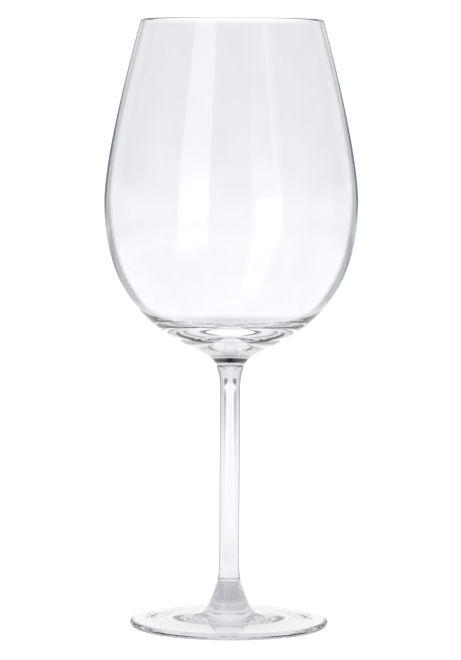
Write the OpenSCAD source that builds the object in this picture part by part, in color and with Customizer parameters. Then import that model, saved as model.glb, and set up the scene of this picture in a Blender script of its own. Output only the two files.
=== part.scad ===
// Stemmed wine glass in clear glass, made as three pieces that are fused face to face:
// a blown bowl, a drawn stem and a pressed foot. Millimetres, +Z up. The origin is the
// centre of the foot, on the surface that the glass stands on. Every outline is a half
// section in the plane (radius, height), turned once round the Z axis.

/* [Bowl] */
// Height of the bowl, from its seam with the stem to the rim
bowl_h = 142.5; // [135:0.5:150]
// Outside diameter of the rim
rim_d = 75; // [66:0.5:84]
// Widest outside diameter
belly_d = 104.4; // [98:0.2:110]
// Height of the widest point above the bowl's seam
belly_rise = 66.5; // [60:0.5:72]
// Wall thickness at the rim
rim_wall = 1.1; // [0.9:0.1:1.6]
// Wall thickness at the widest point
belly_wall = 1.3; // [1:0.1:1.8]
// Thickness of solid glass between the bowl's seam and the floor inside
base_rise = 14.8; // [12:0.2:17]
// Lean of the outer wall from the vertical at the rim, in degrees
rim_lean = 15; // [8:1:18]

/* [Stem] */
// Length of the stem, from seam to seam
stem_l = 88.5; // [70:0.5:100]
// Diameter of the shaft at its waist, under the bowl
waist_d = 8.3; // [7:0.1:9]
// Diameter of the shaft at its fullest
shaft_d = 8.5; // [7:0.1:9]
// Diameter of the seam with the bowl
top_seam_d = 11.2; // [10:0.1:12.5]
// Diameter of the seam with the foot
foot_seam_d = 9.6; // [9.2:0.1:11]

/* [Foot] */
// Outside diameter of the foot
foot_d = 81.8; // [74:0.2:90]
// Height of the foot, from the table to its seam with the stem
foot_h = 19; // [17:0.5:22]
// Thickness of the foot at its rounded edge
edge_t = 3; // [2.4:0.1:3.4]
// Width of the flat ring that the glass stands on
rest_w = 4; // [3:0.5:5]
// Height of the hollow under the foot at its centre
hollow_h = 0.6; // [0.4:0.1:1]

/* [Hidden] */
// Facets of a full turn in a preview
$fn = 128;
glass_tint = [0.93, 0.95, 0.97, 0.35];
// Straight steps along each curve of an outline
steps = 20;

stem_z = foot_h;
bowl_z = stem_z + stem_l;
rim_z = bowl_z + bowl_h;
belly_z = bowl_z + belly_rise;
floor_z = bowl_z + base_rise;
top_seam_r = top_seam_d / 2;
foot_seam_r = foot_seam_d / 2;

// Directions in the half section, in degrees: 0 points away from the axis, 90 points up
down = 270;
to_axis = 180;
shoulder_run = 203;
top_seam_run = 250;
foot_seam_run = 283;

// The shoulder, where the bowl's round underside turns into its neck
shoulder = [14.4, bowl_z + 7.1];

// One step away from a point along a direction
function away(point, direction, reach) =
    point + reach * [cos(direction), sin(direction)];

// A point on the cubic curve with the four control points p, and the way it runs there
function point_on(p, t) = let (s = 1 - t)
    s * s * s * p[0] + 3 * s * s * t * p[1] + 3 * s * t * t * p[2] + t * t * t * p[3];
function run_on(p, t) = let (s = 1 - t)
    s * s * (p[1] - p[0]) + 2 * s * t * (p[2] - p[1]) + t * t * (p[3] - p[2]);

// The control points of a curve that leaves one point and arrives at another, each along
// its own direction
function between(start, leaving, reach_1, end, arriving, reach_2) =
    [start, away(start, leaving, reach_1), away(end, arriving, -reach_2), end];

// The points along a curve, without its first one, so that curves join end to end
function trace(p, last = 1) = [for (i = [1:steps]) point_on(p, last * i / steps)];

// The same, moved inwards by a wall that changes from one thickness to another
function trace_inside(p, wall_1, wall_2, last = 1) = [for (i = [1:steps])
    let (t = last * i / steps, run = run_on(p, t) / norm(run_on(p, t)))
    point_on(p, t) + (wall_1 + (wall_2 - wall_1) * i / steps) * [run[1], -run[0]]];

// The points of a round arc, both ends included
function arc(centre, radius, from, to) =
    [for (i = [0:steps]) away(centre, from + (to - from) * i / steps, radius)];

function reverse(points) = [for (i = [len(points) - 1:-1:0]) points[i]];
function without_first(points) = [for (i = [1:len(points) - 1]) points[i]];

// The bowl's outer wall: rim to belly, belly to shoulder, shoulder to seam
lip_centre = [(rim_d - rim_wall) / 2, rim_z - rim_wall / 2];
lip = arc(lip_centre, rim_wall / 2, rim_lean, 180 + rim_lean);
rim_edge = lip[0];
belly = [belly_d / 2, belly_z];
upper_wall = between(rim_edge, down + rim_lean, 24, belly, down, 18);
lower_wall = between(belly, down, 32, shoulder, shoulder_run, 24);
neck = between(shoulder, shoulder_run, 3.2, [top_seam_r, bowl_z], top_seam_run, 3.4);

// The inside follows the outer wall down to the turn, then sweeps in to a nearly flat floor
turn_at = 0.56;
turn_wall = 1.35;
upper_inside = trace_inside(upper_wall, rim_wall, belly_wall);
lower_inside = trace_inside(lower_wall, belly_wall, turn_wall, turn_at);
turn = lower_inside[steps - 1];
turn_run = run_on(lower_wall, turn_at);
turn_direction = atan2(turn_run[1], turn_run[0]);
floor_curve = between(turn, turn_direction, 11.5, [0, floor_z], to_axis, 23);

module bowl() {
    color(glass_tint) rotate_extrude() polygon(concat(
        [[0, bowl_z]],
        reverse(concat(trace(upper_wall), trace(lower_wall), trace(neck))),
        lip,
        upper_inside,
        lower_inside,
        trace(floor_curve)
    ));
}

// The stem: a flare below the bowl, a slightly swelling shaft and a flare above the foot
top_flare_l = 12.5;
foot_flare_l = 14;
waist = [waist_d / 2, bowl_z - top_flare_l];
ankle = [waist_d / 2, stem_z + foot_flare_l];
top_flare = between([top_seam_r, bowl_z], top_seam_run, 4, waist, down, 6);
shaft = between(waist, down, 26, ankle, down, 20);
swell = (shaft_d - waist_d) * 2 / 3;
swelling_shaft = [shaft[0], shaft[1] + [swell, 0], shaft[2] + [swell / 4, 0], shaft[3]];
foot_flare = between(ankle, down, 8, [foot_seam_r, stem_z], foot_seam_run, 3);

module stem() {
    color(glass_tint) rotate_extrude() polygon(concat(
        [[0, stem_z], [0, bowl_z], [top_seam_r, bowl_z]],
        trace(top_flare),
        trace(swelling_shaft),
        trace(foot_flare)
    ));
}

// The foot: a hub that flares out of the stem, a low dome, a rounded edge and a hollow
// underneath, which is deepest in a ring around its middle
hub = [9.6, foot_h * 0.35];
hub_run = 315;
edge_centre = [(foot_d - edge_t) / 2, edge_t / 2];
edge_lean = 5;
hub_curve = between([foot_seam_r, stem_z], foot_seam_run, 1.8, hub, hub_run, 1.3);
edge_start = away(edge_centre, 90 - edge_lean, edge_t / 2);
dome = between(hub, hub_run, 5.2, edge_start, -edge_lean, 23);
edge = arc(edge_centre, edge_t / 2, 90 - edge_lean, -90);
hollow_rise = 18;
rest_inner = [edge_centre[0] - rest_w, 0];
hollow = between(rest_inner, to_axis - hollow_rise, 17, [0, hollow_h], to_axis, 22);

module foot() {
    color(glass_tint) rotate_extrude() polygon(concat(
        [[0, stem_z], [foot_seam_r, stem_z]],
        trace(hub_curve),
        trace(dome),
        without_first(edge),
        [rest_inner],
        trace(hollow)
    ));
}

bowl();
stem();
foot();
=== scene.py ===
import math

import bmesh
import bpy
from mathutils import Matrix, Vector


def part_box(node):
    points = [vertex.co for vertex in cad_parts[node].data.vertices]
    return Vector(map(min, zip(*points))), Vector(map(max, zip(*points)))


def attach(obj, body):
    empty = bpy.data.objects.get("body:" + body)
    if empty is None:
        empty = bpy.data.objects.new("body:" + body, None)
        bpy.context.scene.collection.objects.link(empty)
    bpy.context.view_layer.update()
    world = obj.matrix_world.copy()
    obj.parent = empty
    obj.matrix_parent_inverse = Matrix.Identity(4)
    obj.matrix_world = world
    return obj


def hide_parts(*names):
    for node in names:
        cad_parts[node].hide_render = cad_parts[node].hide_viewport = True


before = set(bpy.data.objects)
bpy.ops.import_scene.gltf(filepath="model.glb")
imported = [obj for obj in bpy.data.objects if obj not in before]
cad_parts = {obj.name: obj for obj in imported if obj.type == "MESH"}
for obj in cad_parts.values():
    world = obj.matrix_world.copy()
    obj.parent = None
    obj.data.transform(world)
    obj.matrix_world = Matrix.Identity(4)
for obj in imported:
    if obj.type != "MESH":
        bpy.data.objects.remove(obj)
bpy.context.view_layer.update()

# Everything is in metres in the CAD's frame. The outlines are drawn in millimetres and scaled.
MM = 0.001
AROUND = 256                      # facets of a full turn
ON_AXIS = 1e-6                    # a radius under this is a single point, not a ring

# ------------------------------------------------------------------ places taken from the CAD
bowl_lo, bowl_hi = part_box("bowl")
stem_lo, stem_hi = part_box("stem")
foot_lo, foot_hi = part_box("foot")
STEM_Z = foot_hi.z / MM           # seam between foot and stem
BOWL_Z = stem_hi.z / MM           # seam between stem and bowl
RIM_Z = bowl_hi.z / MM
BELLY_R = bowl_hi.x / MM
FOOT_R = foot_hi.x / MM


# ------------------------------------------------------------------ outlines
def heading(degrees):
    return Vector((math.cos(math.radians(degrees)), math.sin(math.radians(degrees))))


def between(start, leaving, reach_1, end, arriving, reach_2):
    """A cubic curve that leaves one point and arrives at another, each along its own direction."""
    start, end = Vector(start), Vector(end)
    return [start, start + reach_1 * heading(leaving), end - reach_2 * heading(arriving), end]


def point_on(p, t):
    s = 1 - t
    return s ** 3 * p[0] + 3 * s * s * t * p[1] + 3 * s * t * t * p[2] + t ** 3 * p[3]


def run_on(p, t):
    s = 1 - t
    return (s * s * (p[1] - p[0]) + 2 * s * t * (p[2] - p[1]) + t * t * (p[3] - p[2])).normalized()


def trace(p, steps, last=1.0):
    return [point_on(p, last * i / steps) for i in range(1, steps + 1)]


def trace_inside(p, wall_1, wall_2, steps, last=1.0):
    """The same points moved inwards by a wall that changes from one thickness to another."""
    out = []
    for i in range(1, steps + 1):
        run = run_on(p, last * i / steps)
        wall = wall_1 + (wall_2 - wall_1) * i / steps
        out.append(point_on(p, last * i / steps) + wall * Vector((run.y, -run.x)))
    return out


def arc(centre, radius, start, end, steps):
    return [Vector(centre) + radius * heading(start + (end - start) * i / steps)
            for i in range(steps + 1)]


# Directions in the half section, in degrees: 0 points away from the axis, 90 points up
DOWN, TO_AXIS = 270, 180
TOP_SEAM_RUN, FOOT_SEAM_RUN = 250, 283
TOP_SEAM_R, FOOT_SEAM_R = 5.6, 4.8
GROOVE, GROOVE_H = 0.1, 0.3       # the fine ring left where two pieces were fused


def bowl_outline():
    """From the seam with the stem up the outside, over the lip and down the inside to the axis."""
    rim_r, rim_wall, rim_lean = 37.5, 1.1, 15
    belly_rise, belly_wall = 66.5, 1.3
    turn_at, turn_wall = 0.56, 1.35   # where the inside leaves the wall and sweeps in to the floor
    base_rise = 14.8
    shoulder, shoulder_run = (14.4, BOWL_Z + 7.1), 203
    belly = (BELLY_R, BOWL_Z + belly_rise)
    neck_end = (TOP_SEAM_R, BOWL_Z + GROOVE_H)
    lip_centre = (rim_r - rim_wall / 2, RIM_Z - rim_wall / 2)
    lip = arc(lip_centre, rim_wall / 2, rim_lean, 180 + rim_lean, steps=14)
    upper = between(lip[0], DOWN + rim_lean, 24, belly, DOWN, 18)
    lower = between(belly, DOWN, 32, shoulder, shoulder_run, 24)
    neck = between(shoulder, shoulder_run, 3.2, neck_end, TOP_SEAM_RUN, 3.2)
    inside = trace_inside(upper, rim_wall, belly_wall, steps=60)
    inside += trace_inside(lower, belly_wall, turn_wall, steps=40, last=turn_at)
    run = run_on(lower, turn_at)
    turn = math.degrees(math.atan2(run.y, run.x))
    floor = between(inside[-1], turn, 11.5, (0, BOWL_Z + base_rise), TO_AXIS, 23)
    outside = trace(upper, steps=60) + trace(lower, steps=64) + trace(neck, steps=18)
    start = Vector((TOP_SEAM_R - GROOVE, BOWL_Z))
    return [start] + outside[::-1] + lip + inside + trace(floor, steps=48)


def stem_outline():
    """From the seam with the bowl down the outside to the seam with the foot."""
    waist_r, swell = 4.15, 0.1333
    top_flare_l, foot_flare_l = 12.5, 14
    waist = (waist_r, BOWL_Z - top_flare_l)
    ankle = (waist_r, STEM_Z + foot_flare_l)
    top = Vector((TOP_SEAM_R, BOWL_Z - GROOVE_H))
    top_flare = between(top, TOP_SEAM_RUN, 4, waist, DOWN, 6)
    shaft = between(waist, DOWN, 26, ankle, DOWN, 20)
    shaft[1] += Vector((swell, 0))
    shaft[2] += Vector((swell / 4, 0))
    foot_flare = between(ankle, DOWN, 8, (FOOT_SEAM_R, STEM_Z + GROOVE_H), FOOT_SEAM_RUN, 3)
    outside = trace(top_flare, steps=24) + trace(shaft, steps=40) + trace(foot_flare, steps=24)
    start = Vector((TOP_SEAM_R - GROOVE, BOWL_Z))
    return [start, top] + outside + [Vector((FOOT_SEAM_R - GROOVE, STEM_Z))]


def foot_outline():
    """From the seam with the stem over the hub and dome, round the edge and along the underside."""
    edge_t, edge_lean, rest_w = 3.0, 5, 4.0
    hollow_h, hollow_rise = 0.6, 18
    hub, hub_run = (9.6, 0.35 * STEM_Z), 315
    edge_centre = (FOOT_R - edge_t / 2, edge_t / 2)
    top = Vector((FOOT_SEAM_R, STEM_Z - GROOVE_H))
    rest_inner = Vector((edge_centre[0] - rest_w, 0))
    flare = between(top, FOOT_SEAM_RUN, 1.6, hub, hub_run, 1.3)
    edge = arc(edge_centre, edge_t / 2, 90 - edge_lean, -90, steps=28)
    dome = between(hub, hub_run, 5.2, edge[0], -edge_lean, 23)
    hollow = between(rest_inner, TO_AXIS - hollow_rise, 17, (0, hollow_h), TO_AXIS, 22)
    start = Vector((FOOT_SEAM_R - GROOVE, STEM_Z))
    upper_side = trace(flare, steps=28) + trace(dome, steps=64) + edge[1:]
    return [start, top] + upper_side + [rest_inner] + trace(hollow, steps=48)


# ------------------------------------------------------------------ meshes
def link(name, mesh):
    obj = bpy.data.objects.new(name, mesh)
    bpy.context.scene.collection.objects.link(obj)
    return obj


def turned(bm, profile, around, inward=False):
    """Turn a profile of (radius, height) in metres once round the axis. Returns its rings."""
    rings = []
    for r, z in profile:
        turns = [2 * math.pi * k / around for k in range(1 if r < ON_AXIS else around)]
        rings.append([bm.verts.new((r * math.cos(turn), r * math.sin(turn), z)) for turn in turns])
    for one, two in zip(rings, rings[1:]):
        for k in range(around):
            j = (k + 1) % around
            corners = [one[k % len(one)], one[j % len(one)], two[j % len(two)], two[k % len(two)]]
            if inward:
                corners = corners[:1] + corners[:0:-1]
            bm.faces.new(dict.fromkeys(corners)).smooth = True
    return rings


def lathe(name, outline, seam_last):
    """Turn an outline into a closed mesh.

    Every outline starts at a seam, and seam_last says whether it ends at one as well. A seam is
    closed with a flat disc of its own material.
    """
    bm = bmesh.new()
    rings = turned(bm, [(point.x * MM, point.y * MM) for point in outline], AROUND)
    seams = [rings[0], rings[-1]] if seam_last else [rings[0]]
    for ring in seams:
        middle = bm.verts.new((0, 0, sum(v.co.z for v in ring) / len(ring)))
        for k in range(AROUND):
            cap = bm.faces.new((ring[k], ring[(k + 1) % AROUND], middle))
            cap.material_index = 1
        for edge in {e for v in ring for e in v.link_edges if all(w in ring for w in e.verts)}:
            edge.smooth = False
    bmesh.ops.recalc_face_normals(bm, faces=bm.faces)
    if bm.calc_volume(signed=True) < 0:
        bmesh.ops.reverse_faces(bm, faces=bm.faces)
    mesh = bpy.data.meshes.new(name)
    bm.to_mesh(mesh)
    bm.free()
    return link(name, mesh)


# ------------------------------------------------------------------ node trees
class Graph:
    """A few words for building a node tree."""

    def __init__(self, mat, clear=True):
        mat.use_nodes = True
        self.tree = mat.node_tree
        if clear:
            self.tree.nodes.clear()

    def node(self, kind, **settings):
        n = self.tree.nodes.new(kind)
        for key, value in settings.items():
            setattr(n, key, value)
        return n

    def wire(self, value, socket):
        if isinstance(value, (int, float)):
            socket.default_value = value
        else:
            self.tree.links.new(value, socket)

    def math(self, operation, *values):
        n = self.node("ShaderNodeMath", operation=operation)
        for value, socket in zip(values, n.inputs):
            self.wire(value, socket)
        return n.outputs[0]

    def fade(self, value, start, end, first, last):
        """first below start, last above end, eased between."""
        n = self.node("ShaderNodeMapRange", interpolation_type="SMOOTHSTEP")
        for socket, v in zip(("Value", "From Min", "From Max", "To Min", "To Max"),
                             (value, start, end, first, last)):
            self.wire(v, n.inputs[socket])
        return n.outputs[0]

    def ramp(self, value, full, stops):
        """Values at a few stops along 0..full, eased between."""
        n = self.node("ShaderNodeValToRGB")
        n.color_ramp.interpolation = "EASE"
        scale = max(v for _, v in stops)
        ramp = n.color_ramp
        while len(ramp.elements) < len(stops):
            ramp.elements.new(0.5)            # each one is moved to its place below
        for element, (place, level) in zip(ramp.elements, sorted(stops)):
            element.position = place / full
            element.color = (level / scale,) * 3 + (1,)
        self.wire(self.math("DIVIDE", value, full), n.inputs[0])
        return self.math("MULTIPLY", n.outputs[0], scale)

    def mix(self, low, high, share):
        return self.math("ADD", self.math("MULTIPLY", low, self.math("SUBTRACT", 1.0, share)),
                         self.math("MULTIPLY", high, share))

    def tinted(self, share, first, last):
        """A colour that goes from first to last as share goes from 0 to 1."""
        n = self.node("ShaderNodeMix", data_type="RGBA")
        self.wire(share, n.inputs[0])
        n.inputs[6].default_value = (*first, 1)
        n.inputs[7].default_value = (*last, 1)
        return n.outputs[2]


# ------------------------------------------------------------------ glass
IOR = 1.52
DARK_TINT = (0.0, 0.01, 0.03)     # the colour that the painted shade and the uneven tint move the glass towards
LOW_Z, HIGH_Z = 0.15, 0.19        # metres: the two starts of grazing hold below and above these
THIN_RUN = 0.016                  # metres over which the painted outline shade comes in above bottom
DEEP_HALF = 0.004                 # metres above and below bottom over which the painted base shade deep fades out
UNEVEN_LOSS = 0.012               # the most light that the uneven tint takes away
WAVE_H = 0.000005                 # height in metres of the waves in the surface


def glass(name, tint, grain, starts=(0.9, 0.9), spread=0.1, dark=0.0, bottom=0.0, deep=0.0):
    """Clear glass, with the faint uneven tint and waves of hot-worked glass.

    Seen edge-on, a wall is darkened by a painted shade that follows the viewing angle and stands
    in for the dark outlines of glass: it starts at starts, low and high on the piece, is
    full spread further on, and takes the share dark away. Below the height bottom, in metres,
    it is left out and the glass takes a painted shade of the share deep of all light instead.
    grain: the size of the unevenness, as a scale in x, y and z.
    """
    mat = bpy.data.materials.new(name)
    g = Graph(mat, clear=False)
    shader = g.tree.nodes["Principled BSDF"]
    shader.inputs["IOR"].default_value = IOR
    shader.inputs["Transmission Weight"].default_value = 1.0
    shader.inputs["Roughness"].default_value = 0.0
    place = g.node("ShaderNodeNewGeometry").outputs["Position"]
    stretch = g.node("ShaderNodeMapping")
    stretch.inputs["Scale"].default_value = grain
    g.wire(place, stretch.inputs["Vector"])
    uneven = g.node("ShaderNodeTexNoise")
    uneven.inputs["Scale"].default_value = 1.0
    uneven.inputs["Detail"].default_value = 1.5
    g.wire(stretch.outputs[0], uneven.inputs["Vector"])
    facing = g.node("ShaderNodeLayerWeight")
    facing.inputs["Blend"].default_value = 0.5
    split = g.node("ShaderNodeSeparateXYZ")
    g.wire(place, split.inputs[0])
    height = split.outputs["Z"]
    thin = g.fade(height, bottom, bottom + THIN_RUN, 0.0, 1.0)
    start = g.fade(height, LOW_Z, HIGH_Z, *starts)
    glancing = g.fade(facing.outputs["Facing"], start, g.math("ADD", start, spread), 0.0, 1.0)
    # painted shade: outlines darken by viewing angle, and the solid base below bottom is darker;
    # the noise adds the glass's own uneven tint
    painted_shade_and_tint = g.math("MULTIPLY", glancing, g.math("MULTIPLY", thin, dark))
    painted_shade_and_tint = g.math("ADD", painted_shade_and_tint, g.fade(height, bottom - DEEP_HALF, bottom + DEEP_HALF, deep, 0.0))
    painted_shade_and_tint = g.math("ADD", painted_shade_and_tint, g.fade(uneven.outputs[0], 0.3, 0.7, 0.0, UNEVEN_LOSS))
    colour = g.tinted(painted_shade_and_tint, tint, DARK_TINT)
    g.wire(colour, shader.inputs["Base Color"])
    waves = g.node("ShaderNodeBump")
    waves.inputs["Strength"].default_value = 1.0
    waves.inputs["Distance"].default_value = WAVE_H
    g.wire(uneven.outputs[0], waves.inputs["Height"])
    g.wire(waves.outputs[0], shader.inputs["Normal"])
    return mat


def open_seam():
    """Lets all light through, because the glass on both sides of a fused seam is one."""
    mat = bpy.data.materials.new("fused_seam")
    mat.use_nodes = True
    mat.node_tree.nodes["Principled BSDF"].inputs["Alpha"].default_value = 0.0
    return mat


seam = open_seam()
# the bowl and stem carry the painted outline shade (dark), and the bowl also the painted base shade
# (deep); the foot has neither
bowl_glass = glass("clear_glass_bowl", (0.885, 0.888, 0.905), (90, 90, 60), starts=(0.66, 0.73),
                   spread=0.14, dark=0.98, bottom=0.121, deep=0.25)
stem_glass = glass("clear_glass_stem", (0.73, 0.735, 0.755), (220, 220, 40), starts=(0.37, 0.37),
                   spread=0.4, dark=0.97)
foot_glass = glass("clear_glass_foot", (0.75, 0.755, 0.785), (110, 110, 110))
pieces = (
    ("bowl", bowl_outline(), False, bowl_glass),
    ("stem", stem_outline(), True, stem_glass),
    ("foot", foot_outline(), False, foot_glass),
)
for node, outline, seam_last, material in pieces:
    obj = lathe("glass_" + node, outline, seam_last)
    obj.data.materials.append(material)
    obj.data.materials.append(seam)
    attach(obj, "root")
    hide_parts(node)


# ------------------------------------------------------------------ studio
def shell(name, profile, around=128):
    """A round room turned from a profile of (radius, height) in metres, seen from inside."""
    bm = bmesh.new()
    turned(bm, profile, around, inward=True)
    mesh = bpy.data.meshes.new(name)
    bm.to_mesh(mesh)
    bm.free()
    obj = link(name, mesh)
    return obj


# A flat floor, a rounded cove and a domed wall, in metres
FLOOR_R, COVE_R = 3.4, 1.0
WALL_R = FLOOR_R + COVE_R
FLOOR_RINGS = 34
FLOOR_GAP = 0.0002                # the glass stands on the floor without sharing its plane
room_profile = [(FLOOR_R * i / FLOOR_RINGS, 0) for i in range(FLOOR_RINGS + 1)]
for degrees in range(5, 91, 5):
    angle = math.radians(degrees)
    room_profile.append((FLOOR_R + COVE_R * math.sin(angle), COVE_R * (1 - math.cos(angle))))
for degrees in range(5, 90, 5):
    angle = math.radians(degrees)
    room_profile.append((WALL_R * math.cos(angle), COVE_R + WALL_R * math.sin(angle)))
room_profile.append((0, COVE_R + WALL_R))
room = shell("studio", room_profile)
room.location.z = -FLOOR_GAP


MIDDLE_Z = 0.15                   # metres: rise is the angle seen from this height on the axis
DEGREES = 180 / math.pi
HALF_TURN = 180

mat = bpy.data.materials.new("studio")
g = Graph(mat)
geometry = g.node("ShaderNodeNewGeometry")
split = g.node("ShaderNodeSeparateXYZ")
g.wire(geometry.outputs["Position"], split.inputs[0])
x, y, z = split.outputs
radius = g.math("SQRT", g.math("ADD", g.math("MULTIPLY", x, x), g.math("MULTIPLY", y, y)))
rise = g.math("MULTIPLY", g.math("ARCTAN2", g.math("SUBTRACT", z, MIDDLE_Z), radius), DEGREES)
turn = g.math("MULTIPLY", g.math("ARCTAN2", x, y), DEGREES)       # 0 behind the glass
away = g.math("ABSOLUTE", turn)

# Low down, a white paper sweep runs back behind the glass, with a darker room on both sides
PAPER_WIDENS = 2.2                # the paper's soft edge ends at this many of its half widths
beside_stops = [(0, 0.3), (19, 0.3), (29, 0.9), (42, 0.95), (62, 0.75), (110, 0.75), (180, 0.8)]
beside = g.ramp(away, HALF_TURN, beside_stops)
paper = g.fade(radius, 2.0, 5.4, 1.285, 1.035)
half = g.fade(radius, 0.8, 1.5, 0.16, 0.45)
across = g.fade(g.math("ABSOLUTE", x), half, g.math("MULTIPLY", half, PAPER_WIDENS), 1.0, 0.0)
on_paper = g.math("MULTIPLY", across, g.fade(y, 0.0, 0.3, 0.0, 1.0))
low = g.mix(beside, paper, on_paper)

# Higher up the wall is bright behind the glass and dark towards the camera, under a grey lid
LID = 0.6
high_stops = [(0, 1.08), (32, 1.0), (45, 0.78), (65, 0.5), (90, 0.13), (120, 0.1), (180, 0.1)]
high = g.ramp(away, HALF_TURN, high_stops)
front = g.fade(away, 60, 110, 0.0, 1.0)

# The floor near the glass is bright, with a painted shadow where the foot stands on it
shaded = g.fade(radius, 0.0, 0.05, 0.75, 1.2)
near = g.math("MULTIPLY", g.fade(radius, 0.5, 1.0, 1.0, 0.0), g.fade(away, 19, 31, 0.0, 1.0))
near = g.math("MAXIMUM", near, g.fade(radius, 0.1, 0.4, 1.0, 0.0))

wall_back = g.mix(low, high, g.fade(rise, 1.0, 4.5, 0.0, 1.0))
wall_front = g.mix(low, high, g.fade(rise, -8, 22, 0.0, 1.0))
wall = g.mix(wall_back, wall_front, front)
wall = g.mix(wall, LID, g.fade(rise, 45, 60, 0.0, 1.0))
glow = g.mix(wall, shaded, near)


def softbox(left, right, bottom, top, power, soft=1.5):
    """A soft panel on the wall, between these angles in degrees, with sides that fade over soft."""
    foot_soft, head_soft = 7, 2
    across = g.math("MULTIPLY", g.fade(turn, left - soft, left + soft, 0.0, 1.0),
                    g.fade(turn, right - soft, right + soft, 1.0, 0.0))
    along = g.math("MULTIPLY", g.fade(rise, bottom - foot_soft, bottom + foot_soft, 0.0, 1.0),
                   g.fade(rise, top - head_soft, top + head_soft, 1.0, 0.0))
    return g.math("MULTIPLY", g.math("MULTIPLY", across, along), power)


glow = g.math("ADD", glow, softbox(-160, -131, -20, 62, 0.9))
glow = g.math("ADD", glow, softbox(133, 157, -14, 5, 0.9, soft=4))
glow = g.math("ADD", glow, softbox(131, 140, 5, 34, 0.35))
BLUISH, WHITE = (0.8, 0.92, 1.12), (1, 1, 1)      # the room's darker parts are bluish
lamp_colour = g.tinted(g.fade(glow, 0.0, 0.9, 0.0, 1.0), BLUISH, WHITE)
lamp = g.node("ShaderNodeEmission")
g.wire(lamp_colour, lamp.inputs["Color"])
g.wire(glow, lamp.inputs["Strength"])
out = g.node("ShaderNodeOutputMaterial")
g.wire(lamp.outputs[0], out.inputs["Surface"])
room.data.materials.append(mat)

world = bpy.data.worlds.new("dark")
world.use_nodes = True
world.node_tree.nodes["Background"].inputs["Strength"].default_value = 0
bpy.context.scene.world = world

# ------------------------------------------------------------------ camera
CAMERA_AWAY, CAMERA_Z = 1.8, 0.2879
TILT, ROLL, LENS, SENSOR = 5.248, 0.343, 240.0, 36.0
camera = bpy.data.objects.new("camera", bpy.data.cameras.new("camera"))
bpy.context.scene.collection.objects.link(camera)
camera.data.lens = LENS
camera.data.sensor_width = SENSOR
camera.data.clip_end = 60
camera.location = (0, -CAMERA_AWAY, CAMERA_Z)
aim = Matrix.Rotation(math.radians(90 - TILT), 4, "X") @ Matrix.Rotation(math.radians(ROLL), 4, "Z")
camera.rotation_euler = aim.to_euler()

scene = bpy.context.scene
scene.camera = camera
scene.view_settings.view_transform = "Standard"
scene.cycles.max_bounces = 24
scene.cycles.transmission_bounces = 24
scene.cycles.glossy_bounces = 12
scene.cycles.transparent_max_bounces = 24
scene.cycles.use_denoising = True
